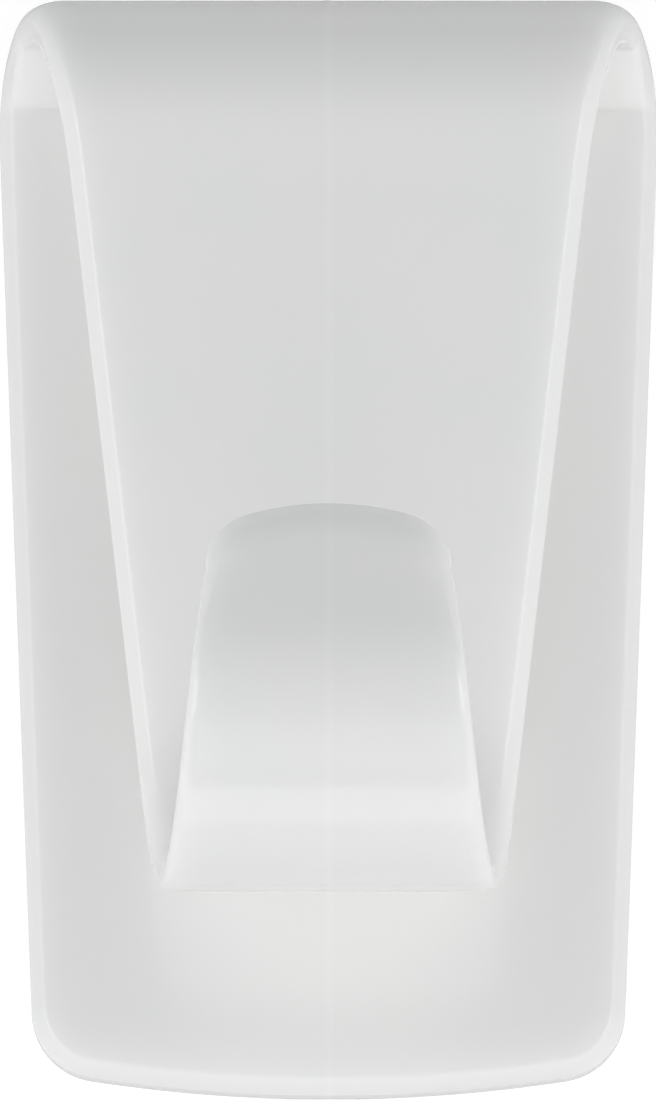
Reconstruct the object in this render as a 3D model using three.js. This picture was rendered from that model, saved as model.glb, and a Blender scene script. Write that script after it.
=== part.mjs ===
// Adhesive ceiling hook. A single moulded ribbon runs along the ceiling as a back plate, loops over
// itself, comes back as a narrowing tongue and ends in an upturned hook with a leaning lip. A laminated
// stretch-release strip holds the plate to the ceiling and is pulled out from behind it for removal.
//
// Millimetres. +Z points away from the ceiling, +Y runs from the plate's lower edge towards the loop and
// +X runs across. The origin is the centre of the adhesive face that meets the ceiling.

import * as THREE from 'three';

// Moulded ribbon
const ribbonThickness = 1.8;

// Back plate
const plateLength = 43.8; // lower edge to the start of the loop
const plateWidthLow = 24.9; // across the lower edge, before its corners are rounded
const plateWidthHigh = 28.65; // across the shoulders, before they are eased
const plateEndRadius = 64; // shallow arc of the lower edge
const plateCornerRadius = 2.4;
const plateEdge = 1.6; // reach of the rounded front edge

// Loop and tongue
const loopBackRadius = 2.2; // inside, where the plate rises
const loopFrontRadius = 4.4; // inside, where the loop turns into the tongue
const tongueWidthTop = 22.5; // across the end of the loop
const tongueGap = 0.45; // between the plate and the nearest point of the ribbon's turn
const tongueEdge = 1.6; // reach of the rounded edge on the loop's outside and the tongue's front
const loopInnerEdge = 0.3; // reach of the rounded edge on the loop's inside and the tongue's back

// Hook and lip
const hookRadius = 7.6; // outside of the turn
const hookSetback = 6.45; // plate's lower edge to the outermost point of the turn
const lipLean = THREE.MathUtils.degToRad(12); // the lip leans back towards the tongue
const lipLength = 6.15; // straight part of the lip, tip included
const tipWidth = 9.6; // across the tip, before its corners are rounded
const tipEndRadius = 12.4; // arc of the tip
const tipCornerRadius = 2.1;
const hookEdge = 0.9; // reach of the rounded edge on the hook's outside
const hookInnerEdge = 0.6; // reach of the rounded edge on the hook's inside
const hookEdgeShare = 0.35; // share of the hook's turn over which the edges change

// Outline of the ribbon when it is unrolled
const shoulderRise = 1; // shoulders to the start of the loop
const shoulderBlend = 2.2; // half the length over which one taper turns into the next

// Stretch-release strip
const adhesiveThickness = 0.2;
const coreThickness = 0.6;
const tabFilmThickness = 0.1;
const tabLength = 9;
const tabSetback = 1.3; // tab's end to the lower edge of the plate
const tabCornerRadius = 3;
const stripSideMargin = 2.45; // strip's sides to the plate's lower corners
const stripTopMargin = 1.5; // strip's upper end to the start of the loop
const stripCornerRadius = 1.5;
const slidingClearance = 0.05; // strip's hook side to the back of the plate

// Facets
const turnStep = THREE.MathUtils.degToRad(8);
const straightStep = 4;
const blendSteps = 4;
const endArcSteps = 5;
const cornerSteps = 5;
const edgeSteps = 4;
const stripCurveSegments = 6;

// Sizes that follow
const half = ribbonThickness / 2;
const stripThickness = 2 * adhesiveThickness + coreThickness;
const plateBack = stripThickness + slidingClearance;
const plateFront = plateBack + ribbonThickness;
const stripWidth = plateWidthLow - 2 * stripSideMargin;
const adhesiveLength = plateLength - tabSetback - tabLength - stripTopMargin;
const tabRoot = -adhesiveLength / 2;
const plateLow = tabRoot - tabLength - tabSetback;

// Side view. The straight tongue is the inner tangent of the loop's front turn and the hook's turn.
const backTurnRadius = loopBackRadius + half;
const frontTurnRadius = loopFrontRadius + half;
const hookTurnRadius = hookRadius - half;
const frontCentre = new THREE.Vector2(
  plateLow + plateLength + backTurnRadius - frontTurnRadius,
  plateBack + half + backTurnRadius,
);
const hookCentre = new THREE.Vector2(plateLow + hookSetback + hookRadius, plateFront + tongueGap + hookRadius);
const centreSpan = hookCentre.clone().sub(frontCentre);
const radiusSum = frontTurnRadius + hookTurnRadius;
const centreRise = Math.atan2(centreSpan.y, -centreSpan.x);
const tongueLean = Math.asin(radiusSum / centreSpan.length()) - centreRise;
const tongueLength = Math.sqrt(centreSpan.lengthSq() - radiusSum ** 2);

const quarterTurn = Math.PI / 2;
const hookTurn = Math.PI + tongueLean + lipLean;
const stretches = [
  { length: plateLength, turn: 0 },
  { length: quarterTurn * backTurnRadius, turn: quarterTurn },
  { length: (quarterTurn + tongueLean) * frontTurnRadius, turn: quarterTurn + tongueLean },
  { length: tongueLength, turn: 0 },
  { length: hookTurn * hookTurnRadius, turn: -hookTurn },
  { length: lipLength, turn: 0 },
];

// Walks one stretch from a place and heading; a heading of zero runs along +Y, a quarter turn along +Z.
function walk(state, length, curvature) {
  const heading = state.heading + curvature * length;
  if (curvature === 0) {
    return {
      y: state.y + length * Math.cos(heading),
      z: state.z + length * Math.sin(heading),
      heading,
    };
  }
  return {
    y: state.y + (Math.sin(heading) - Math.sin(state.heading)) / curvature,
    z: state.z - (Math.cos(heading) - Math.cos(state.heading)) / curvature,
    heading,
  };
}

// Gives each stretch its start on the unrolled ribbon and in the side view.
function placeStretches() {
  let start = 0;
  let state = { y: plateLow, z: plateBack + half, heading: 0 };
  for (const stretch of stretches) {
    stretch.start = start;
    stretch.curvature = stretch.turn / stretch.length;
    stretch.state = state;
    state = walk(state, stretch.length, stretch.curvature);
    start += stretch.length;
  }
  return start;
}

const ribbonLength = placeStretches();
const [, backTurn, , tongue, hook] = stretches;
const loopStart = backTurn.start;
const tongueStart = tongue.start;

// A point of the bent ribbon, from its distance along, across and through the unrolled one.
function bend(along, across, through) {
  const stretch = stretches.findLast((entry) => entry.start <= along) ?? stretches[0];
  const { y, z, heading } = walk(stretch.state, along - stretch.start, stretch.curvature);
  return [across, y - through * Math.sin(heading), z + through * Math.cos(heading)];
}

// Slopes of half the ribbon's width along the plate, the loop and the tongue with its hook
const shoulderAt = loopStart + shoulderRise;
const plateTaper = (plateWidthHigh - plateWidthLow) / 2 / shoulderAt;
const loopTaper = (tongueWidthTop - plateWidthHigh) / 2 / (tongueStart - shoulderAt);
const tongueTaper = (tipWidth - tongueWidthTop) / 2 / (ribbonLength - tongueStart);
const shoulders = [
  { at: shoulderAt, change: loopTaper - plateTaper },
  { at: tongueStart, change: tongueTaper - loopTaper },
];

// How far past a shoulder the new taper counts, eased in over the blend.
function easedReach(distance) {
  if (distance <= -shoulderBlend) {
    return 0;
  }
  if (distance >= shoulderBlend) {
    return distance;
  }
  return (distance + shoulderBlend) ** 2 / (4 * shoulderBlend);
}

function halfWidth(along) {
  const start = plateWidthLow / 2 + plateTaper * along;
  return shoulders.reduce((sum, { at, change }) => sum + change * easedReach(along - at), start);
}

function sideSlope(along) {
  const delta = 1e-4;
  return (halfWidth(along + delta) - halfWidth(along - delta)) / (2 * delta);
}

// Half of a rounded end, from the middle of its arc to where its corner meets the side. Distances run
// inwards from the end, and each point carries the outward direction of the outline.
function roundedEnd(radius, cornerRadius, widthAtEnd, slope) {
  const tilt = Math.hypot(1, slope);
  const offset = widthAtEnd - cornerRadius * tilt;
  const reach = radius - cornerRadius;
  const a = 1 + slope ** 2;
  const b = slope * offset - radius;
  const c = radius ** 2 + offset ** 2 - reach ** 2;
  const cornerInward = (-b - Math.sqrt(b ** 2 - a * c)) / a;
  const cornerAcross = offset + slope * cornerInward;
  const arcEnd = Math.atan2(cornerAcross, radius - cornerInward);
  const sideAngle = quarterTurn + Math.atan(slope);
  const points = [];
  for (let i = 0; i <= endArcSteps; i += 1) {
    const angle = (arcEnd * i) / endArcSteps;
    points.push({
      inward: radius - radius * Math.cos(angle),
      across: radius * Math.sin(angle),
      normal: [-Math.cos(angle), Math.sin(angle)],
    });
  }
  for (let i = 1; i <= cornerSteps; i += 1) {
    const angle = arcEnd + ((sideAngle - arcEnd) * i) / cornerSteps;
    points.push({
      inward: cornerInward - cornerRadius * Math.cos(angle),
      across: cornerAcross + cornerRadius * Math.sin(angle),
      normal: [-Math.cos(angle), Math.sin(angle)],
    });
  }
  return points;
}

// Places along the side where the outline gets a point
function sideStations(from, to) {
  const stations = new Set();
  for (const { start, length, turn } of stretches) {
    const steps = Math.ceil(turn === 0 ? length / straightStep : Math.abs(turn) / turnStep);
    for (let i = 0; i <= steps; i += 1) {
      stations.add(start + (length * i) / steps);
    }
  }
  for (const { at } of shoulders) {
    for (let i = -blendSteps; i <= blendSteps; i += 1) {
      stations.add(at + (shoulderBlend * i) / blendSteps);
    }
  }
  const sorted = [...stations].sort((p, q) => p - q).filter((along) => along > from && along < to);
  const leastSpacing = 0.1;
  return sorted.filter((along, i) => i === 0 || along - sorted[i - 1] > leastSpacing);
}

// The unrolled ribbon's right-hand outline, from the middle of the plate's lower edge to the tip
function halfOutline() {
  const low = roundedEnd(plateEndRadius, plateCornerRadius, plateWidthLow / 2, plateTaper);
  const tip = roundedEnd(tipEndRadius, tipCornerRadius, tipWidth / 2, -tongueTaper);
  const lowPoints = low.map(({ inward, across, normal }) => ({ along: inward, across, normal }));
  const tipPoints = tip.map(({ inward, across, normal }) => ({
    along: ribbonLength - inward,
    across,
    normal: [-normal[0], normal[1]],
  }));
  const sidePoints = sideStations(lowPoints.at(-1).along, tipPoints.at(-1).along).map((along) => {
    const slope = sideSlope(along);
    const tilt = Math.hypot(1, slope);
    return { along, across: halfWidth(along), normal: [-slope / tilt, 1 / tilt] };
  });
  return [...lowPoints, ...sidePoints, ...tipPoints.reverse()];
}

// Reach of the rounded edges along the plate, the loop with its tongue, and the hook. On the unrolled
// ribbon the upper face is the plate's front, the loop's inside and the hook's outside; the lower face is
// the plate's ceiling side, which keeps a square edge, the loop's outside and the hook's inside.
const cornerShare = 0.9; // most of a corner's radius that the edge around it may take
const upperReaches = [
  Math.min(plateEdge, cornerShare * plateCornerRadius),
  loopInnerEdge,
  Math.min(hookEdge, cornerShare * tipCornerRadius),
];
const lowerReaches = [0, tongueEdge, Math.min(hookInnerEdge, cornerShare * tipCornerRadius)];

function edgeReach([onPlate, onTongue, onHook], along) {
  const { lerp, smoothstep } = THREE.MathUtils;
  const intoLoop = smoothstep(along, loopStart, loopStart + backTurn.length);
  const intoHook = smoothstep(along, hook.start, hook.start + hookEdgeShare * hook.length);
  return lerp(lerp(onPlate, onTongue, intoLoop), onHook, intoHook);
}

// One outline point's column of points round the edge, from the upper face down to the lower face
function edgeColumn({ along, across, normal }) {
  const column = [];
  for (let i = -edgeSteps; i <= edgeSteps; i += 1) {
    const angle = (-quarterTurn * i) / edgeSteps;
    const reach = edgeReach(i < 0 ? upperReaches : lowerReaches, along);
    const inset = reach * (1 - Math.cos(angle));
    column.push([along - inset * normal[0], across - inset * normal[1], half * Math.sin(angle)]);
  }
  return column;
}

function ribbonGeometry() {
  const columns = halfOutline().map(edgeColumn);
  const last = columns.length - 1;
  const depth = columns[0].length - 1;
  const positions = [];
  const addVertex = (along, across, through) => {
    positions.push(...bend(along, across, through));
    return positions.length / 3 - 1;
  };
  const right = columns.map((column) => column.map((point) => addVertex(...point)));
  const left = columns.map((column, i) => {
    if (i === 0 || i === last) {
      return right[i];
    }
    return column.map(([along, across, through]) => addVertex(along, -across, through));
  });
  const index = [];
  const addQuad = (a, b, c, d) => {
    if (a !== b) {
      index.push(a, b, c);
    }
    if (c !== d) {
      index.push(a, c, d);
    }
  };
  for (let i = 0; i < last; i += 1) {
    addQuad(left[i][0], right[i][0], right[i + 1][0], left[i + 1][0]);
    addQuad(right[i][depth], left[i][depth], left[i + 1][depth], right[i + 1][depth]);
    for (let j = 0; j < depth; j += 1) {
      addQuad(right[i][j], right[i][j + 1], right[i + 1][j + 1], right[i + 1][j]);
      addQuad(left[i][j + 1], left[i][j], left[i + 1][j], left[i + 1][j + 1]);
    }
  }
  const geometry = new THREE.BufferGeometry();
  geometry.setAttribute('position', new THREE.Float32BufferAttribute(positions, 3));
  geometry.setIndex(index);
  geometry.computeVertexNormals();
  return geometry;
}

// A flat layer of the strip between two heights, with one corner radius at each end
function layerGeometry(yLow, yHigh, lowRadius, highRadius, zLow, zHigh) {
  const side = stripWidth / 2;
  const outline = new THREE.Shape();
  outline.moveTo(-side + lowRadius, yLow);
  outline.lineTo(side - lowRadius, yLow);
  outline.absarc(side - lowRadius, yLow + lowRadius, lowRadius, -quarterTurn, 0);
  outline.lineTo(side, yHigh - highRadius);
  outline.absarc(side - highRadius, yHigh - highRadius, highRadius, 0, quarterTurn);
  outline.lineTo(-side + highRadius, yHigh);
  outline.absarc(-side + highRadius, yHigh - highRadius, highRadius, quarterTurn, 2 * quarterTurn);
  outline.lineTo(-side, yLow + lowRadius);
  outline.absarc(-side + lowRadius, yLow + lowRadius, lowRadius, 2 * quarterTurn, 3 * quarterTurn);
  const geometry = new THREE.ExtrudeGeometry(outline, {
    depth: zHigh - zLow,
    bevelEnabled: false,
    curveSegments: stripCurveSegments,
  });
  return geometry.translate(0, 0, zLow);
}

const hookPlastic = new THREE.MeshStandardMaterial({ color: 0xeceeec, roughness: 0.22, metalness: 0 });
const strip = {
  core: new THREE.MeshStandardMaterial({ color: 0xe9e7df, roughness: 0.75, metalness: 0 }),
  ceilingAdhesive: new THREE.MeshStandardMaterial({ color: 0xdfddd2, roughness: 0.35, metalness: 0 }),
  hookAdhesive: new THREE.MeshStandardMaterial({ color: 0xdfddd2, roughness: 0.35, metalness: 0 }),
  ceilingTabFilm: new THREE.MeshStandardMaterial({ color: 0xf4f4f1, roughness: 0.45, metalness: 0 }),
  hookTabFilm: new THREE.MeshStandardMaterial({ color: 0xf4f4f1, roughness: 0.45, metalness: 0 }),
};

const group = new THREE.Group();

function addPiece(name, geometry, material) {
  const mesh = new THREE.Mesh(geometry, material);
  mesh.name = name;
  group.add(mesh);
}

const stripTop = adhesiveLength / 2;
const tabEnd = tabRoot - tabLength;
const coreLow = adhesiveThickness;
const coreHigh = coreLow + coreThickness;

addPiece('hook_body', ribbonGeometry(), hookPlastic);

addPiece(
  'strip_core',
  layerGeometry(tabEnd, stripTop, tabCornerRadius, stripCornerRadius, coreLow, coreHigh),
  strip.core,
);
addPiece(
  'adhesive_ceiling_side',
  layerGeometry(tabRoot, stripTop, stripCornerRadius, stripCornerRadius, 0, coreLow),
  strip.ceilingAdhesive,
);
addPiece(
  'adhesive_hook_side',
  layerGeometry(tabRoot, stripTop, stripCornerRadius, stripCornerRadius, coreHigh, stripThickness),
  strip.hookAdhesive,
);
addPiece(
  'tab_film_ceiling_side',
  layerGeometry(tabEnd, tabRoot, tabCornerRadius, stripCornerRadius, coreLow - tabFilmThickness, coreLow),
  strip.ceilingTabFilm,
);
addPiece(
  'tab_film_hook_side',
  layerGeometry(tabEnd, tabRoot, tabCornerRadius, stripCornerRadius, coreHigh, coreHigh + tabFilmThickness),
  strip.hookTabFilm,
);

export default group;
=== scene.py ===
# %% [markdown]
# A ribbon hook for the ceiling. The hook is one moulded ribbon of glossy white plastic: a flat back plate
# that loops over itself, comes back as a narrowing tongue and ends in an upturned lip. Behind the plate
# lies a stretch-release strip, a laminate of five thin layers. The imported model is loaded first, because
# every piece made here takes its place from it and then stands for one of its nodes.

# %% Load the frame
import math

import bmesh
import bpy
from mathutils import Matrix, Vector


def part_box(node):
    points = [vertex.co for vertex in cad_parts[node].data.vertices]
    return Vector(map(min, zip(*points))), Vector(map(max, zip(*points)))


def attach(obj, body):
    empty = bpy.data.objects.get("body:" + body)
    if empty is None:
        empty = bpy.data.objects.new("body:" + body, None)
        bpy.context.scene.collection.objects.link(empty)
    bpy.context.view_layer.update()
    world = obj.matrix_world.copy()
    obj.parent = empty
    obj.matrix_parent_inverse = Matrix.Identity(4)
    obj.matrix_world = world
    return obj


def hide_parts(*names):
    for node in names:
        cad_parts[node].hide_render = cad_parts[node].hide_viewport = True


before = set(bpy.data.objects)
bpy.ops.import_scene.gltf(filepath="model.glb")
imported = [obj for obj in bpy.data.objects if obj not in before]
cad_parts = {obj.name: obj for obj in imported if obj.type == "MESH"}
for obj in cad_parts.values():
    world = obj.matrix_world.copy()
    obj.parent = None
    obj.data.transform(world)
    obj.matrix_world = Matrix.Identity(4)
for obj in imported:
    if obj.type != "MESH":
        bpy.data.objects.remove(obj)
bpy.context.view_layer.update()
MM = 0.001

# %% [markdown]
# The ribbon's sizes. The plastic is the same thickness nearly everywhere, so the hook is given by a flat
# outline and by the line that it is bent along. Its lowest corner comes from the frame. The other sizes
# are those of the solid model, written in metres, because the frame holds only finished meshes. Only the
# plate's lower edge is let out, by `lower_gain`, because the real one looks a little fuller.

# %% Sizes of the ribbon
ribbon_thickness = 1.8 * MM
half_thickness = ribbon_thickness / 2
lower_gain = 0.15 * MM
plate_length = 43.8 * MM + lower_gain
plate_width_low = 24.9 * MM
plate_width_high = 28.65 * MM
loop_back_radius = 2.2 * MM
loop_front_radius = 4.4 * MM
tongue_width_top = 22.5 * MM
tongue_gap = 0.45 * MM
hook_radius = 7.6 * MM
hook_setback = 6.45 * MM + lower_gain
lip_lean = math.radians(12)
lip_length = 6.15 * MM
tip_width = 9.6 * MM
hook_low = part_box("hook_body")[0]
plate_low = hook_low.y - lower_gain
plate_back = hook_low.z
plate_front = plate_back + ribbon_thickness
print("plate from", round(plate_low / MM, 2), "mm, back at", round(plate_back / MM, 2), "mm")

# %% [markdown]
# The side view. A ribbon bent from flat stock has straight stretches and turns of one radius each, and
# so does this one. The straight tongue touches both the loop's front turn and the hook's turn, so its
# lean and its length follow from the two centres: it is the inner tangent of two circles.

# %% Turns of the side view
QUARTER = math.pi / 2
back_radius = loop_back_radius + half_thickness
front_radius = loop_front_radius + half_thickness
lip_radius = hook_radius - half_thickness
loop_end = plate_low + plate_length + back_radius
front_centre = Vector((loop_end - front_radius, plate_back + half_thickness + back_radius))
hook_centre = Vector((plate_low + hook_setback + hook_radius, plate_front + tongue_gap + hook_radius))
span = hook_centre - front_centre
radius_sum = front_radius + lip_radius
tongue_lean = math.asin(radius_sum / span.length) - math.atan2(span.y, -span.x)
tongue_length = math.sqrt(span.length_squared - radius_sum**2)

back_angle = QUARTER
front_angle = QUARTER + tongue_lean
hook_angle = -(math.pi + tongue_lean + lip_lean)
back_start = plate_length
front_start = back_start + back_angle * back_radius
tongue_start = front_start + front_angle * front_radius
hook_start = tongue_start + tongue_length
lip_start = hook_start - hook_angle * lip_radius
ribbon_length = lip_start + lip_length
print("ribbon", round(ribbon_length / MM, 2), "mm long")
print("tongue leans", round(math.degrees(tongue_lean), 2), "degrees")

# %% [markdown]
# The flat outline. Unrolled, the ribbon widens slowly up the plate, narrows quickly round the loop and
# then slowly down the tongue to the lip. Each change of taper is eased by a short parabola, as a mould
# maker blends two straight sides, so that no corner shows where the loop begins.

# %% Half of the ribbon's width
shoulder_rise = 1 * MM
shoulder_blend = 2.2 * MM
shoulder_at = back_start + shoulder_rise
plate_taper = (plate_width_high - plate_width_low) / 2 / shoulder_at
loop_taper = (tongue_width_top - plate_width_high) / 2 / (tongue_start - shoulder_at)
tongue_taper = (tip_width - tongue_width_top) / 2 / (ribbon_length - tongue_start)
SHOULDERS = ((shoulder_at, loop_taper - plate_taper), (tongue_start, tongue_taper - loop_taper))


def eased_reach(distance):
    """How far past a shoulder the new taper counts."""
    if abs(distance) < shoulder_blend:
        return (distance + shoulder_blend) ** 2 / (4 * shoulder_blend)
    return max(distance, 0.0)


def eased_slope(distance):
    """How much of the new taper holds at this distance past a shoulder."""
    return min(max((distance + shoulder_blend) / (2 * shoulder_blend), 0.0), 1.0)


def half_width(along):
    gain = sum(change * eased_reach(along - at) for at, change in SHOULDERS)
    return plate_width_low / 2 + plate_taper * along + gain


def side_slope(along):
    return plate_taper + sum(change * eased_slope(along - at) for at, change in SHOULDERS)


width_stations = (0, shoulder_at, tongue_start, ribbon_length)
print("widths", [round(2 * half_width(along) / MM, 2) for along in width_stations], "mm")

# %% [markdown]
# The two ends. Both are shallow arcs with rounded corners. An arc and a corner that touch share a
# tangent, so the corner's centre lies on a smaller circle about the arc's own centre and at one corner
# radius from the tapering side. That is a quadratic, and its root gives every point of the end.

# %% Rounded ends
plate_end_radius = 64 * MM
plate_corner_radius = 3 * MM
tip_end_radius = 10.8 * MM
tip_corner_radius = 2.6 * MM
END_STEPS = 24
CORNER_STEPS = 16


def rounded_end(radius, corner_radius, width_at_end, slope):
    """Half an end as (inward, across, outward direction), from its middle to its side."""
    offset = width_at_end - corner_radius * math.hypot(1, slope)
    a = 1 + slope**2
    b = slope * offset - radius
    c = radius**2 + offset**2 - (radius - corner_radius) ** 2
    corner_in = (-b - math.sqrt(b**2 - a * c)) / a
    corner_out = offset + slope * corner_in
    arc_end = math.atan2(corner_out, radius - corner_in)
    side_angle = QUARTER + math.atan(slope)
    points = []
    for step in range(END_STEPS + 1):
        angle = arc_end * step / END_STEPS
        out = (-math.cos(angle), math.sin(angle))
        points.append((radius * (1 + out[0]), radius * out[1], out))
    for step in range(1, CORNER_STEPS + 1):
        angle = arc_end + (side_angle - arc_end) * step / CORNER_STEPS
        out = (-math.cos(angle), math.sin(angle))
        points.append((corner_in + corner_radius * out[0], corner_out + corner_radius * out[1], out))
    return points


low_end = rounded_end(plate_end_radius, plate_corner_radius, plate_width_low / 2, plate_taper)
tip_end = rounded_end(tip_end_radius, tip_corner_radius, tip_width / 2, -tongue_taper)
print("ends", len(low_end), "and", len(tip_end), "points")

# %% [markdown]
# The flat inside the loop. Where the ribbon leaves the plate, its inner side isn't round: it is a slanting
# flat, which catches the light from below and shows as a pale patch in the loop's ends. A flat is a chord
# of the turn, so the ribbon grows thickest in the flat's middle. The outer side stays round.

# %% Flat inside the loop
flat_delay = math.radians(5)
flat_angle = back_angle - flat_delay
flat_start = back_start + flat_delay * back_radius


def flat_rise(along):
    """How much the flat adds to the inner side at a place along the ribbon."""
    from_middle = (along - flat_start) / back_radius - flat_angle / 2
    if abs(from_middle) > flat_angle / 2:
        return 0.0
    return loop_back_radius * (1 - math.cos(flat_angle / 2) / math.cos(from_middle))


def with_flat(point):
    """Raises a point of the inner half by its share of the flat; the rim and the outer half stay."""
    across, along, through = point
    return (across, along, through + flat_rise(along) * max(through, 0) / half_thickness)


print("flat adds", round(flat_rise((flat_start + front_start) / 2) / MM, 2), "mm in its middle")

# %% [markdown]
# The whole outline. The sides get closely spaced points where the ribbon will be bent and wider ones
# where it stays straight. Each point keeps the outward direction of the outline, because the edge is
# built inwards along it.

# %% Outline of the flat ribbon
STRAIGHT_STEP = 0.8 * MM
TURN_STEP = math.radians(2.5)
STRETCHES = (
    (0, back_start, 0),
    (back_start, flat_start, flat_delay),
    (flat_start, front_start, flat_angle),
    (front_start, tongue_start, front_angle),
    (tongue_start, hook_start, 0),
    (hook_start, lip_start, hook_angle),
    (lip_start, ribbon_length, 0),
)


def side_stations(first, last):
    """Places along the side, between the two rounded ends."""
    stations = []
    for start, end, angle in STRETCHES:
        count = math.ceil(max((end - start) / STRAIGHT_STEP, abs(angle) / TURN_STEP))
        stations += [start + (end - start) * step / count for step in range(count)]
    margin = STRAIGHT_STEP / 4
    return [along for along in stations if first + margin < along < last - margin]


def side_point(along):
    slope = side_slope(along)
    tilt = math.hypot(1, slope)
    return (along, half_width(along), (-slope / tilt, 1 / tilt))


def flat_outline():
    """The right-hand outline as (along, across, outward direction), from the lower edge to the tip."""
    tip = [(ribbon_length - inward, across, (-out[0], out[1])) for inward, across, out in tip_end[::-1]]
    sides = [side_point(along) for along in side_stations(low_end[-1][0], tip[0][0])]
    return low_end + sides + tip


outline = flat_outline()
print("outline", len(outline), "points a side")

# %% [markdown]
# The edges. Where the ribbon faces the eye, its edge is a flat bevel that meets the face at a tight
# corner, and the face sinks a little before it. Only the corner catches the light, as a thin bright line.
# A round edge would show a wide soft band instead. The other edges are small rounds: quarter ellipses
# that meet the face without a crease.

# %% Edge sections
EDGE_STEPS = 16
CROWN_STEPS = 5
BEVEL_CORNER_STEPS = 6
rim_radius = 0.15 * MM
bevel_corner = 0.26 * MM
bevel_crown = 1.2 * MM


def round_edge(reach, depth=half_thickness):
    """A quarter ellipse as (inset, depth) pairs, from the face to the rim."""
    angles = [QUARTER * step / EDGE_STEPS for step in range(EDGE_STEPS + 1)]
    return [(reach * (1 - math.sin(angle)), depth * (1 - math.cos(angle))) for angle in angles]


def even_steps(low, high, count):
    return [low + (high - low) * step / (count - 1) for step in range(count)]


def bevelled_edge(slope, corner, crown, crown_slope, depth=half_thickness):
    """A sinking face, tight corner, bevel and rim as (inset, depth) pairs, from the face to the rim."""
    crown_depth = crown * math.tan(crown_slope) / 2
    corner_depth = crown_depth + corner * (math.cos(crown_slope) - math.cos(slope))
    flat_depth = depth - rim_radius * math.cos(slope) - corner_depth
    corner_inset = rim_radius * (1 - math.sin(slope)) + flat_depth / math.tan(slope)
    face_inset = corner_inset + corner * (math.sin(slope) - math.sin(crown_slope)) + crown
    section = [(face_inset - crown * u, crown_depth * u**2) for u in even_steps(0, 1, CROWN_STEPS)]
    for angle in even_steps(crown_slope, slope, BEVEL_CORNER_STEPS + 1)[1:]:
        inset = corner_inset + corner * (math.sin(slope) - math.sin(angle))
        section.append((inset, corner_depth - corner * (math.cos(angle) - math.cos(slope))))
    for angle in even_steps(slope, QUARTER, EDGE_STEPS + 1 - len(section)):
        section.append((rim_radius * (1 - math.sin(angle)), depth - rim_radius * math.cos(angle)))
    return section


bevel = bevelled_edge(math.radians(53), bevel_corner, bevel_crown, math.radians(8.5))
print("bevel takes", round(bevel[0][0] / MM, 2), "mm of the face, in", len(bevel), "points")

# %% [markdown]
# The edges along the ribbon. On the plate, the front edge is bevelled and the ceiling side is nearly
# square. The loop turns the ribbon over: its outer edge is a wide round, which becomes the bevel of the
# tongue. Round the hook the inner edge is wide and the outer one narrow, which puts the rim near the
# outer face, and towards the tip the lip's face sinks more steeply to its sides. Each change is eased
# along the ribbon.

# %% Edges along the ribbon
ceiling_edge = 0.12 * MM
loop_outer_edge = 1.6 * MM
loop_inner_edge = 0.3 * MM
hook_outer_edge = 0.7 * MM
hook_inner_edge = 1.3 * MM
hook_rim_depth = 0.45 * MM
lip_inner_edge = 0.6 * MM
lip_rim_depth = 0.85 * MM
lip_crown = 1.5 * MM
lip_edge = bevelled_edge(math.radians(34), bevel_corner, lip_crown, math.radians(29), lip_rim_depth)
UPPER_EDGES = (
    bevel,
    round_edge(loop_inner_edge),
    round_edge(loop_inner_edge),
    round_edge(hook_outer_edge, hook_rim_depth),
    lip_edge,
)
LOWER_EDGES = (
    round_edge(ceiling_edge),
    round_edge(loop_outer_edge),
    bevel,
    round_edge(hook_inner_edge, ribbon_thickness - hook_rim_depth),
    round_edge(lip_inner_edge, ribbon_thickness - lip_rim_depth),
)
EASINGS = (
    (back_start, front_start),
    (front_start + front_radius / 2, tongue_start),
    (hook_start + 1.5 * MM, hook_start + 5.5 * MM),
    (lip_start - 2 * MM, lip_start + 3 * MM),
)


def smoothstep(value, low, high):
    share = min(max((value - low) / (high - low), 0.0), 1.0)
    return share * share * (3 - 2 * share)


def edge_section(edges, along):
    """The section of one edge at a place along the ribbon, as (inset, depth) pairs."""
    section = edges[0]
    for following, (low, high) in zip(edges[1:], EASINGS):
        share = smoothstep(along, low, high)
        pairs = zip(section, following)
        section = [(p[0] + (q[0] - p[0]) * share, p[1] + (q[1] - p[1]) * share) for p, q in pairs]
    return section


def edge_column(along, across, out):
    """Points round one edge, from the upper face down to the lower face."""
    upper = [(inset, half_thickness - depth) for inset, depth in edge_section(UPPER_EDGES, along)]
    lower = [(inset, depth - half_thickness) for inset, depth in edge_section(LOWER_EDGES, along)]
    section = upper + lower[-2::-1]
    return [(along - inset * out[0], across - inset * out[1], through) for inset, through in section]


print(len(edge_column(*outline[0])), "points round an edge")

# %% [markdown]
# The parting line. The mould opens sideways, so its two halves meet along the middle of the ribbon and
# leave a witness line there, a ridge too low to feel. It is only a fiftieth of a millimetre high and
# catches little light; its faint light thread is a painted highlight in the plastic's colour. One flank is
# longer, because the halves never meet quite flush.

# %% Faces with the witness line
ridge_height = 0.02 * MM
ridge_left = 0.34 * MM
ridge_right = 0.14 * MM
ridge_fade = 0.8 * MM
RIDGE_ROOM = 0.12
RIDGE_SHARES = (-1, -0.75, -0.5, -0.25, 0, 0.5, 1)
FACE_STEPS = 11


def ridge_columns(width):
    """Places across the middle of a face, drawn together where the face is narrow."""
    room = min(1.0, RIDGE_ROOM * width / ridge_left)
    return [room * share * (ridge_left if share < 0 else ridge_right) for share in RIDGE_SHARES]


def face_columns(width):
    """Places across a face from left to right, closer together near its edges."""
    sides = [width * math.sin(QUARTER * step / FACE_STEPS) for step in range(1, FACE_STEPS + 1)]
    return [-x for x in reversed(sides)] + ridge_columns(width) + sides


def ridge_shares():
    """How much of the ridge's height each column of a face gets."""
    middle = [1 - abs(share) for share in RIDGE_SHARES]
    return [0.0] * FACE_STEPS + middle + [0.0] * FACE_STEPS


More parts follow.
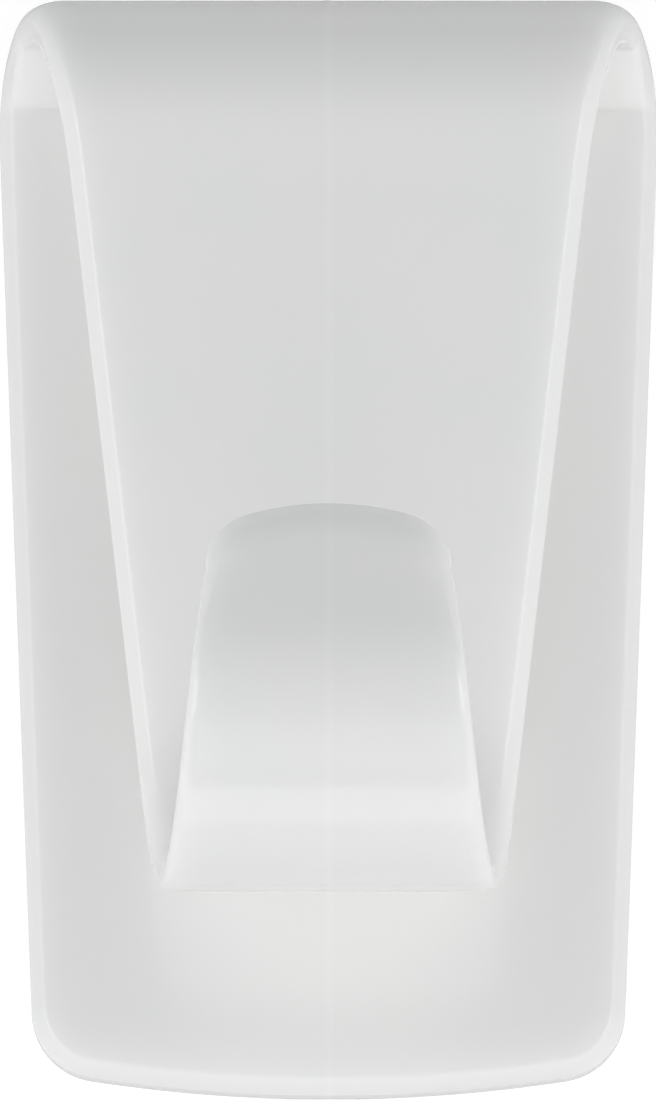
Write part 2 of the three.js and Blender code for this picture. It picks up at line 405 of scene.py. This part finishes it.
def face_row(edge_point, side):
    """One row of points across a face; side is 1 for the upper face and -1 for the lower."""
    along, width, through = edge_point
    from_end = min(along - bevel[0][0], ribbon_length - lip_edge[0][0] - along)
    full = smoothstep(from_end, 0, ridge_fade)
    rise = [side * ridge_height * full * share for share in ridge_shares()]
    return [(x, along, through + dz) for x, dz in zip(face_columns(width), rise)]


print(len(ridge_shares()), "columns across a face")

# %% [markdown]
# The flat blank. Each station of the outline becomes one closed ring round the ribbon: across the upper
# face, down the right edge, back across the lower face and up the left edge. The rings are joined into a
# tube of quads. At the two ends the rings shrink to a line, and merging the doubled points closes them.

# %% Flat blank
MERGE_DISTANCE = 1e-4 * MM


def blank_ring(point):
    column = edge_column(*point)
    right = [(across, along, through) for along, across, through in column]
    left = [(-across, along, through) for along, across, through in reversed(column)]
    upper = face_row(column[0], 1)
    lower = face_row(column[-1], -1)
    return upper + right[1:-1] + lower[::-1] + left[1:-1]


def flat_blank(name):
    rings = [blank_ring(point) for point in outline]
    shape = bmesh.new()
    rows = [[shape.verts.new(with_flat(co)) for co in ring] for ring in rings]
    count = len(rows[0])
    for row, following in zip(rows, rows[1:]):
        for i in range(count):
            j = (i + 1) % count
            shape.faces.new((row[i], row[j], following[j], following[i]))
    bmesh.ops.remove_doubles(shape, verts=shape.verts, dist=MERGE_DISTANCE)
    bmesh.ops.recalc_face_normals(shape, faces=shape.faces)
    mesh = bpy.data.meshes.new(name)
    shape.to_mesh(mesh)
    shape.free()
    piece = bpy.data.objects.new(name, mesh)
    bpy.context.scene.collection.objects.link(piece)
    return piece


ribbon = flat_blank("moulded_ribbon")
print("blank", len(ribbon.data.polygons), "faces")

# %% [markdown]
# Small helpers for node trees. A tree is easier to read when a sum is one call, so `math_node` takes
# numbers and other nodes' outputs alike and gives back its own output. Every tree ends alike too: what it
# made becomes one real mesh and gets its material, because an export drops instances.

# %% Node helpers
FLOAT = "NodeSocketFloat"
VECTOR = "NodeSocketVector"
GEOMETRY = "NodeSocketGeometry"
MATERIAL = "NodeSocketMaterial"


def feed(tree, socket, value):
    """Sets an input to a plain value, or links another node's output to it."""
    if isinstance(value, bpy.types.NodeSocket):
        tree.links.new(value, socket)
    else:
        socket.default_value = value


def add_node(tree, kind, values=(), **settings):
    """A new node with its settings, and its inputs fed by name or by number."""
    node = tree.nodes.new(kind)
    for key, value in settings.items():
        setattr(node, key, value)
    for key, value in dict(values).items():
        feed(tree, node.inputs[key], value)
    return node


def math_node(tree, operation, *values):
    return add_node(tree, "ShaderNodeMath", dict(enumerate(values)), operation=operation).outputs[0]


def new_tree(name, inputs, output):
    """A geometry tree with named inputs, its inputs by name, and its output."""
    tree = bpy.data.node_groups.new(name, "GeometryNodeTree")
    for label, kind in inputs:
        tree.interface.new_socket(label, in_out="INPUT", socket_type=kind)
    tree.interface.new_socket(output[0], in_out="OUTPUT", socket_type=output[1])
    given = tree.nodes.new("NodeGroupInput").outputs
    result = tree.nodes.new("NodeGroupOutput").inputs
    return tree, given, result[0]


def end_tree(tree, geometry, material, result):
    """Makes what a tree built one real mesh and gives it its material."""
    real = add_node(tree, "GeometryNodeRealizeInstances", {"Geometry": geometry}).outputs[0]
    values = {"Geometry": real, "Material": material}
    dressed = add_node(tree, "GeometryNodeSetMaterial", values).outputs[0]
    tree.links.new(dressed, result)


print("a tree's inputs can be", [FLOAT, VECTOR, GEOMETRY, MATERIAL])

# %% [markdown]
# One turn of the ribbon. Bending a flat strip round a roller leaves the part before it alone, wraps the
# part on it and carries the rest along straight. This small group does that to a point: `walked` is how
# much of the arc lies behind the point, and `ahead` is what is left over, before the arc or past it.

# %% Node group for one turn
def make_turn_group():
    inputs = (("Along", FLOAT), ("Place", VECTOR), ("Start", FLOAT), ("Radius", FLOAT), ("Angle", FLOAT))
    tree, given, result = new_tree("ribbon_turn", inputs, ("Place", VECTOR))
    x, y, z = add_node(tree, "ShaderNodeSeparateXYZ", {0: given["Place"]}).outputs
    start, angle = given["Start"], given["Angle"]
    length = math_node(tree, "MULTIPLY", given["Radius"], math_node(tree, "ABSOLUTE", angle))
    past_start = math_node(tree, "MAXIMUM", math_node(tree, "SUBTRACT", given["Along"], start), 0.0)
    walked = math_node(tree, "MINIMUM", past_start, length)
    curvature = math_node(tree, "DIVIDE", angle, length)
    heading = math_node(tree, "MULTIPLY", curvature, walked)
    sine = math_node(tree, "SINE", heading)
    cosine = math_node(tree, "COSINE", heading)
    ahead = math_node(tree, "SUBTRACT", math_node(tree, "SUBTRACT", y, start), walked)

    arc_y = math_node(tree, "ADD", start, math_node(tree, "DIVIDE", sine, curvature))
    arc_z = math_node(tree, "DIVIDE", math_node(tree, "SUBTRACT", 1.0, cosine), curvature)
    new_y = math_node(tree, "MULTIPLY_ADD", ahead, cosine, arc_y)
    new_y = math_node(tree, "SUBTRACT", new_y, math_node(tree, "MULTIPLY", z, sine))
    new_z = math_node(tree, "MULTIPLY_ADD", ahead, sine, arc_z)
    new_z = math_node(tree, "ADD", new_z, math_node(tree, "MULTIPLY", z, cosine))
    place = add_node(tree, "ShaderNodeCombineXYZ", {0: x, 1: new_y, 2: new_z}).outputs[0]
    tree.links.new(place, result)
    return tree


turn_group = make_turn_group()
print("turn group has", len(turn_group.nodes), "nodes")

# %% [markdown]
# Bending the whole ribbon. The turns are made in the order that keeps the flat part flat: the hook first,
# then the loop's front, then its back, each one carrying what was bent before it. A curve with a
# cross-section could follow the same path, but it would stretch the rounded outline. Bending a finished
# blank keeps every length.

# %% Tree that bends the ribbon
TURNS = (
    ("Hook", hook_start, lip_radius, hook_angle),
    ("Loop front", front_start, front_radius, front_angle),
    ("Loop back", back_start, back_radius, back_angle),
)


def make_bend_tree():
    sizes = [(f"{label} {part}", FLOAT) for label, *_ in TURNS for part in ("start", "radius", "angle")]
    inputs = [("Geometry", GEOMETRY), *sizes, ("Seat", VECTOR), ("Material", MATERIAL)]
    tree, given, result = new_tree("ribbon_bend", inputs, ("Geometry", GEOMETRY))
    place = tree.nodes.new("GeometryNodeInputPosition").outputs[0]
    along = add_node(tree, "ShaderNodeSeparateXYZ", {0: place}).outputs[1]
    for label, *_ in TURNS:
        values = {part: given[f"{label} {part.lower()}"] for part in ("Start", "Radius", "Angle")}
        values.update({"Along": along, "Place": place})
        place = add_node(tree, "GeometryNodeGroup", values, node_tree=turn_group).outputs[0]
    values = {0: place, 1: given["Seat"]}
    seated = add_node(tree, "ShaderNodeVectorMath", values, operation="ADD").outputs[0]
    values = {"Geometry": given["Geometry"], "Position": seated}
    bent = add_node(tree, "GeometryNodeSetPosition", values).outputs[0]
    smooth = add_node(tree, "GeometryNodeSetShadeSmooth", {"Geometry": bent}).outputs[0]
    end_tree(tree, smooth, given["Material"], result)
    return tree


bend_tree = make_bend_tree()
print("bend tree has", len(bend_tree.nodes), "nodes")

# %% [markdown]
# Helpers for materials. Nothing moulded or cut is quite even, so each finish drifts between two tones and
# two degrees of gloss, led by soft random patches. The patterns follow the piece's own coordinates, which
# keeps them in place when it moves. Image textures could show the same, but they'd be tied to one size.

# %% Material helpers
NOISE_LOW = 0.3
NOISE_HIGH = 0.7


def bare_material(name):
    """A material without shaders, its tree and the socket that takes its surface."""
    material = bpy.data.materials.new(name)
    material.use_nodes = True
    tree = material.node_tree
    tree.nodes.clear()
    surface = tree.nodes.new("ShaderNodeOutputMaterial").inputs["Surface"]
    return material, tree, surface


def new_material(name):
    """A material with one shader, and the place of each point on its piece."""
    material, tree, surface = bare_material(name)
    shader = tree.nodes.new("ShaderNodeBsdfPrincipled")
    tree.links.new(shader.outputs[0], surface)
    place = tree.nodes.new("ShaderNodeTexCoord").outputs["Object"]
    return material, tree, shader, place


def noise(tree, place, size, detail=2.0):
    """Soft random patches of about this size in metres."""
    values = {"Vector": place, "Scale": 1 / size, "Detail": detail}
    return add_node(tree, "ShaderNodeTexNoise", values).outputs["Fac"]


def drift(tree, factor, low, high):
    """A number that follows a noise between two limits."""
    values = {"Value": factor, "From Min": NOISE_LOW, "From Max": NOISE_HIGH}
    values.update({"To Min": low, "To Max": high})
    return add_node(tree, "ShaderNodeMapRange", values).outputs[0]


def two_tones(tree, factor, first, second):
    """A colour that follows a factor from one tone to another."""
    ramp = add_node(tree, "ShaderNodeValToRGB", {"Fac": factor})
    for stop, tone in zip(ramp.color_ramp.elements, (first, second)):
        stop.color = (*tone, 1)
    return ramp.outputs["Color"]


def bump(tree, height, distance):
    return add_node(tree, "ShaderNodeBump", {"Height": height, "Distance": distance}).outputs[0]


def dress(tree, shader, colour, roughness, normal):
    """Links what varies over a piece to its shader."""
    for name, value in (("Base Color", colour), ("Roughness", roughness), ("Normal", normal)):
        feed(tree, shader.inputs[name], value)


def scatter(shader, weight, depth):
    """How much of the light enters the surface, and how far it travels there."""
    shader.inputs["Subsurface Weight"].default_value = weight
    shader.inputs["Subsurface Scale"].default_value = depth
    shader.inputs["Subsurface Radius"].default_value = (1.0, 1.0, 1.0)


print("patches run from", NOISE_LOW, "to", NOISE_HIGH)

# %% [markdown]
# White moulded plastic. The pigment is never quite even, so the white drifts by a hundredth between a
# cool and a warm tone over a few millimetres, and the gloss drifts with the polish of the mould. The light
# enters the plastic and comes out a millimetre or two away, which lets the rims glow. That is subsurface
# scattering, and it suits a thin white wall better than a plain diffuse colour. The seam in the middle is
# painted a shade lighter: a painted highlight for the light that its tiny ridge catches.

# %% Hook plastic
pigment_patch = 6 * MM
polish_patch = 2.4 * MM
ripple_size = 0.7 * MM
ripple_height = 0.0004 * MM
plastic_depth = 1.6 * MM
plastic_ior = 1.52
# The seam's sizes and its lighter white paint a highlight into the plastic's colour.
seam_highlight_width = 0.24 * MM
seam_highlight_edge = 0.16 * MM
seam_highlight_share = 0.3
seam_highlight_white = (0.935, 0.937, 0.93, 1)


def with_seam_highlight(tree, place, plain):
    """Paints a highlight into a colour towards the seam, up to its sharper edge."""
    x = add_node(tree, "ShaderNodeSeparateXYZ", {0: place}).outputs["X"]
    rise = {"Value": x, "From Min": -seam_highlight_width, "From Max": seam_highlight_edge, "To Max": seam_highlight_share}
    seam = add_node(tree, "ShaderNodeMapRange", rise).outputs[0]
    seam = math_node(tree, "MULTIPLY", seam, math_node(tree, "LESS_THAN", x, seam_highlight_edge))
    values = {"Factor": seam, 6: plain, 7: seam_highlight_white}
    return add_node(tree, "ShaderNodeMix", values, data_type="RGBA").outputs[2]


def glossy_white_plastic():
    material, tree, shader, place = new_material("glossy_white_plastic")
    cool, warm = (0.876, 0.880, 0.877), (0.888, 0.888, 0.882)
    tone = drift(tree, noise(tree, place, pigment_patch), 0.0, 1.0)
    # The seam gets a painted highlight in the plastic's colour.
    white = with_seam_highlight(tree, place, two_tones(tree, tone, cool, warm))
    gloss = drift(tree, noise(tree, place, polish_patch), 0.11, 0.15)
    ripple = bump(tree, noise(tree, place, ripple_size), ripple_height)
    dress(tree, shader, white, gloss, ripple)
    shader.inputs["IOR"].default_value = plastic_ior
    scatter(shader, 1.0, plastic_depth)
    return material


hook_plastic = glossy_white_plastic()
print("plastic has", len(hook_plastic.node_tree.nodes), "nodes")

# %% [markdown]
# The ribbon in place. The tree runs as a modifier: its inputs are set first, then Blender evaluates it and
# the bent result is kept as a plain mesh without the modifier. The hook's node is then hidden, and the
# piece takes its place and rides on the hook's body.

# %% Bend the ribbon
def run_tree(piece, tree, values):
    """Puts a tree on a piece as a modifier, with these named inputs."""
    modifier = piece.modifiers.new(tree.name, "NODES")
    modifier.node_group = tree
    inputs = [item for item in tree.interface.items_tree if item.in_out == "INPUT"]
    sockets = {item.name: item.identifier for item in inputs}
    for name, value in values.items():
        modifier[sockets[name]] = value


def keep_mesh(piece):
    """Replaces a piece's mesh by what its modifiers make of it, and removes them."""
    depsgraph = bpy.context.evaluated_depsgraph_get()
    mesh = bpy.data.meshes.new_from_object(piece.evaluated_get(depsgraph))
    mesh.name = piece.name
    piece.modifiers.clear()
    piece.data = mesh


bend_inputs = {"Seat": (0.0, plate_low, plate_back + half_thickness), "Material": hook_plastic}
for label, start, radius, angle in TURNS:
    bend_inputs.update({f"{label} start": start, f"{label} radius": radius, f"{label} angle": angle})
run_tree(ribbon, bend_tree, bend_inputs)
keep_mesh(ribbon)
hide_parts("hook_body")
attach(ribbon, "hook")
print("ribbon has", len(ribbon.data.polygons), "faces")

# %% [markdown]
# The strip's finishes. The core is a stretchy foam film, full of bubbles a fifth of a millimetre across.
# The adhesive on both its faces is a tacky, slightly cloudy layer, as smooth as it was poured. The tab
# that the fingers pull has no adhesive: a thin film with fine draw lines covers it on both sides.

# %% Strip materials
bubble_size = 0.2 * MM
cloud_size = 3 * MM
pour_ripple = 0.8 * MM
draw_line = 0.35 * MM
draw_stretch = (1.0, 0.06, 1.0)


def foam_film():
    material, tree, shader, place = new_material("foam_film")
    values = {"Vector": place, "Scale": 1 / bubble_size}
    cells = add_node(tree, "ShaderNodeTexVoronoi", values).outputs["Distance"]
    foam = two_tones(tree, cells, (0.74, 0.72, 0.66), (0.82, 0.80, 0.75))
    dress(tree, shader, foam, drift(tree, cells, 0.62, 0.8), bump(tree, cells, 0.02 * MM))
    scatter(shader, 0.3, 0.5 * MM)
    return material


def tacky_adhesive():
    material, tree, shader, place = new_material("tacky_adhesive")
    cloud = drift(tree, noise(tree, place, cloud_size, 4.0), 0.0, 1.0)
    gum = two_tones(tree, cloud, (0.70, 0.68, 0.61), (0.78, 0.76, 0.70))
    ripple = bump(tree, noise(tree, place, pour_ripple), 0.006 * MM)
    dress(tree, shader, gum, drift(tree, cloud, 0.28, 0.42), ripple)
    scatter(shader, 0.5, 0.4 * MM)
    return material


def drawn_film():
    material, tree, shader, place = new_material("drawn_film")
    drawn = add_node(tree, "ShaderNodeMapping", {"Vector": place, "Scale": draw_stretch}).outputs[0]
    lines = noise(tree, drawn, draw_line, 3.0)
    film = two_tones(tree, lines, (0.86, 0.86, 0.835), (0.91, 0.91, 0.89))
    dress(tree, shader, film, drift(tree, lines, 0.34, 0.5), bump(tree, lines, 0.004 * MM))
    return material


finishes = {"core": foam_film(), "adhesive": tacky_adhesive(), "film": drawn_film()}
print("strip finishes", sorted(finishes))

# %% [markdown]
# The strip's layers. All five are flat sheets with rounded corners, cut by the same kind of die, so one
# tree makes them all: a rectangle, its corners rounded with one radius at each end, filled and raised to
# the layer's thickness. A scaled cube would be quicker, but it has no round corners.

# %% Tree for one layer
CORNER_COUNT = 14
UPPER_CORNERS = 2
WELD_DISTANCE = 0.001 * MM


def rounded_rectangle(tree, given):
    """A sheet in the plane with one corner radius at its upper end and another at its tab."""
    values = {"Width": given["Width"], "Height": given["Length"]}
    kind = "GeometryNodeCurvePrimitiveQuadrilateral"
    corners = add_node(tree, kind, values, mode="RECTANGLE").outputs[0]
    index = tree.nodes.new("GeometryNodeInputIndex").outputs[0]
    is_upper = math_node(tree, "LESS_THAN", index, UPPER_CORNERS)
    gain = math_node(tree, "SUBTRACT", given["Upper corner"], given["Tab corner"])
    radius = math_node(tree, "MULTIPLY_ADD", is_upper, gain, given["Tab corner"])
    values = {"Curve": corners, "Count": CORNER_COUNT, "Radius": radius}
    rounded = add_node(tree, "GeometryNodeFilletCurve", values, mode="POLY").outputs[0]
    return add_node(tree, "GeometryNodeFillCurve", {"Curve": rounded}, mode="NGONS").outputs[0]


def make_layer_tree():
    sizes = ("Width", "Length", "Thickness", "Tab corner", "Upper corner")
    inputs = [("Geometry", GEOMETRY), *((name, FLOAT) for name in sizes)]
    inputs += [("Seat", VECTOR), ("Material", MATERIAL)]
    tree, given, result = new_tree("strip_layer", inputs, ("Geometry", GEOMETRY))
    sheet = rounded_rectangle(tree, given)
    values = {"Mesh": sheet, "Offset Scale": given["Thickness"], "Individual": False}
    raised = add_node(tree, "GeometryNodeExtrudeMesh", values, mode="FACES").outputs["Mesh"]
    under = add_node(tree, "GeometryNodeFlipFaces", {"Mesh": sheet}).outputs[0]
    both = tree.nodes.new("GeometryNodeJoinGeometry")
    tree.links.new(raised, both.inputs[0])
    tree.links.new(under, both.inputs[0])
    values = {"Geometry": both.outputs[0], "Distance": WELD_DISTANCE}
    closed = add_node(tree, "GeometryNodeMergeByDistance", values).outputs[0]
    values = {"Geometry": closed, "Offset": given["Seat"]}
    placed = add_node(tree, "GeometryNodeSetPosition", values).outputs[0]
    end_tree(tree, placed, given["Material"], result)
    return tree


layer_tree = make_layer_tree()
print("layer tree has", len(layer_tree.nodes), "nodes")

# %% [markdown]
# The five layers in place. Core, adhesives and tab films lie on each other like the pages of a book, and
# move together when the tab is pulled. Each layer's width, length and height are read from its node's box,
# so that no layer sinks into the next. A narrow bevel takes off the razor edge that no cut film has.

# %% Cut the five layers
tab_corner = 3 * MM
strip_corner = 1.5 * MM
cut_edge = 0.03 * MM
LAYERS = (
    ("foam_core", "strip_core", "core", "strip_core", tab_corner),
    ("ceiling_adhesive", "adhesive_ceiling_side", "adhesive", "adhesive", strip_corner),
    ("plate_adhesive", "adhesive_hook_side", "adhesive", "adhesive", strip_corner),
    ("ceiling_tab_film", "tab_film_ceiling_side", "film", "tab_film", tab_corner),
    ("plate_tab_film", "tab_film_hook_side", "film", "tab_film", tab_corner),
)


def cut_layer(name, node, finish, low_corner):
    low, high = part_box(node)
    size = high - low
    seat = ((low.x + high.x) / 2, (low.y + high.y) / 2, low.z)
    layer = bpy.data.objects.new(name, bpy.data.meshes.new(name))
    bpy.context.scene.collection.objects.link(layer)
    values = {"Width": size.x, "Length": size.y, "Thickness": size.z}
    values.update({"Tab corner": low_corner, "Upper corner": strip_corner})
    values.update({"Seat": seat, "Material": finishes[finish]})
    run_tree(layer, layer_tree, values)
    blunting = layer.modifiers.new("cut_edge", "BEVEL")
    blunting.width = min(cut_edge, size.z / 4)
    blunting.segments = 2
    keep_mesh(layer)
    return layer


for name, node, finish, slot, low_corner in LAYERS:
    layer = cut_layer(name, node, finish, low_corner)
    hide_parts(node)
    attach(layer, "strip")
    print(name, "is", round(layer.dimensions.z / MM, 2), "mm thick,", len(layer.data.polygons), "faces")

# %% [markdown]
# The floor. A sheet of pale paper lies just under the strip. The camera sees it as white, because a part
# of its brightness is an even glow that only camera, mirror and glass rays meet. The rest is ordinary
# paper, so the hook still shades it and it still throws light back.

# %% Floor
floor_reach = 6.0
floor_drop = 0.05 * MM
paper_white = (0.8, 0.8, 0.8, 1)
paper_glow = 0.45


def glowing_paper(name):
    """Paper with an even glow for the rays that show the background."""
    material, tree, surface = bare_material(name)
    sheet = add_node(tree, "ShaderNodeBsdfDiffuse", {"Color": paper_white}).outputs[0]
    glow = add_node(tree, "ShaderNodeEmission", {"Strength": paper_glow}).outputs[0]
    bright = add_node(tree, "ShaderNodeAddShader", {0: sheet, 1: glow}).outputs[0]
    path = tree.nodes.new("ShaderNodeLightPath").outputs
    seen = math_node(tree, "MAXIMUM", path["Is Camera Ray"], path["Is Glossy Ray"])
    seen = math_node(tree, "MAXIMUM", seen, path["Is Transmission Ray"])
    shown = add_node(tree, "ShaderNodeMixShader", {0: seen, 1: sheet, 2: bright}).outputs[0]
    tree.links.new(shown, surface)
    return material


def lay_sheet(name, reach, drop, material):
    """A square sheet of paper under the hook, which belongs to the stage."""
    corners = [(x * reach, y * reach, -drop) for x, y in ((-1, -1), (1, -1), (1, 1), (-1, 1))]
    mesh = bpy.data.meshes.new(name)
    mesh.from_pydata(corners, [], [(0, 1, 2, 3)])
    mesh.materials.append(material)
    sheet = bpy.data.objects.new(name, mesh)
    bpy.context.scene.collection.objects.link(sheet)
    return sheet


lay_sheet("floor", floor_reach, floor_drop, glowing_paper("floor_paper"))
print("floor", 2 * floor_reach, "m wide")

# %% [markdown]
# A card for the reflections. A white object on white loses its outline, because every edge that turns
# away mirrors the white floor. Photographers slip a darker card under it. This one is plain paper without
# the glow, it reaches nearly as far as the lamps stand, and only reflections show it.

# %% Reflection card
card_reach = 450 * MM
card_drop = 0.02 * MM


def plain_paper(name):
    material, tree, surface = bare_material(name)
    sheet = add_node(tree, "ShaderNodeBsdfDiffuse", {"Color": paper_white}).outputs[0]
    tree.links.new(sheet, surface)
    return material


card = lay_sheet("reflection_card", card_reach, card_drop, plain_paper("card_paper"))
card.visible_camera = False
card.visible_diffuse = False
card.visible_shadow = False
card.visible_transmission = False
print("card", round(2 * card_reach / MM), "mm wide")

# %% [markdown]
# The light. White plastic shows its shape only by small differences, so the light comes mostly from three
# soft boxes that stand on the floor left, right and below, and the side behind the loop stays greyer. Two
# higher lamps draw the thin bright lines along the bevels. The fill lamps cast no shadow and aren't
# mirrored: they stand for light that filters through a thin white wall, and keep the plate bright beside
# the tongue.

# %% Soft boxes and fill
WATTS_PER_BRIGHTNESS = 4
soft_white = (1.0, 0.997, 0.988)
box_distance = 0.5
lower_box = (0.8, 0.22)
lower_middle = Vector((0, 0, lower_box[1] / 2))
side_box = (0.84, 0.43)
side_middle = Vector((0, -0.18, side_box[1] / 2))
lamp_distance = 0.8
edge_lamp = (0.3, 0.3)
wide_lamp = (0.38, 0.38)


def softbox(name, place, size, radiance, aim=(0, 0, 0), shadow=True, mirrored=True):
    """A rectangular lamp of this brightness all over, which faces a point and isn't seen itself."""
    lamp = bpy.data.lights.new(name, "AREA")
    lamp.shape = "RECTANGLE"
    lamp.size, lamp.size_y = size
    lamp.energy = WATTS_PER_BRIGHTNESS * radiance * size[0] * size[1]
    lamp.color = soft_white
    lamp.use_shadow = shadow
    box = bpy.data.objects.new(name, lamp)
    box.location = place
    box.rotation_euler = (Vector(aim) - Vector(place)).to_track_quat("-Z", "Y").to_euler()
    box.visible_camera = False
    box.visible_glossy = mirrored
    bpy.context.scene.collection.objects.link(box)
    return box


def from_sky(azimuth, elevation):
    """A place in this direction from the hook; azimuth 0 is below the hook, 90 to its right."""
    turn, rise = math.radians(azimuth), math.radians(elevation)
    level = lamp_distance * math.cos(rise)
    return Vector((level * math.sin(turn), -level * math.cos(turn), lamp_distance * math.sin(rise)))


lower_place = lower_middle + Vector((0, -box_distance, 0))
lamps = [
    softbox("lower_softbox", lower_place, lower_box, 0.81, aim=lower_middle),
    softbox("front_softbox", from_sky(0, 52), wide_lamp, 0.3),
    softbox("overhead_fill", from_sky(0, 88), wide_lamp, 0.65, shadow=False, mirrored=False),
    softbox("lower_fill", from_sky(0, 20), wide_lamp, 0.82, shadow=False, mirrored=False),
]
for label, side in (("left", -1), ("right", 1)):
    place = side_middle + Vector((side * box_distance, 0, 0))
    lamps += [
        softbox(f"{label}_softbox", place, side_box, 0.66, aim=side_middle),
        softbox(f"{label}_edge_lamp", from_sky(90 * side, 45), edge_lamp, 1.9, shadow=False),
        softbox(f"{label}_fill", from_sky(90 * side, 10), wide_lamp, 1.5, shadow=False, mirrored=False),
    ]
print(len(lamps), "lamps")

# %% [markdown]
# The room. Between the lamps the surroundings are a plain dim grey, a little cool. It fills the shadows
# evenly and is what the top of the loop mirrors. A picture of a real studio could stand there instead, but
# plain grey keeps the soft gradients clean.

# %% Room
room_grey = (0.267, 0.272, 0.278, 1)
world = bpy.data.worlds.new("room")
world.use_nodes = True
world.node_tree.nodes["Background"].inputs["Color"].default_value = room_grey
bpy.context.scene.world = world
print("room grey", room_grey[:3])

# %% [markdown]
# The camera. It looks down the plate's normal from a little below it, through a long lens, so that the
# far loop and the near lip keep their proportions. One point of the hook and the place where it is seen
# fix where the camera stands.

# %% Camera
view_tilt = math.radians(18.6)
view_distance = 0.62
pixels_per_metre = 23430
image_height = 1100
image_centre = (328, 550)
seen_point = Vector((0, -2 * MM, 5 * MM))
seen_pixel = (328.5, 525.7)
camera_up = Vector((0, math.cos(view_tilt), math.sin(view_tilt)))
camera_back = Vector((0, -math.sin(view_tilt), math.cos(view_tilt)))
across = (image_centre[0] - seen_pixel[0]) / pixels_per_metre
upward = (seen_pixel[1] - image_centre[1]) / pixels_per_metre

optics = bpy.data.cameras.new("camera")
optics.sensor_width = 36
optics.lens = pixels_per_metre * view_distance / image_height * optics.sensor_width
camera = bpy.data.objects.new("camera", optics)
camera.location = seen_point + Vector((across, 0, 0)) + camera_up * upward + camera_back * view_distance
camera.rotation_euler = (view_tilt, 0, 0)
bpy.context.scene.collection.objects.link(camera)
bpy.context.scene.camera = camera
bpy.context.scene.view_settings.view_transform = "Standard"
print("lens", round(optics.lens), "mm, camera at", [round(x, 3) for x in camera.location])
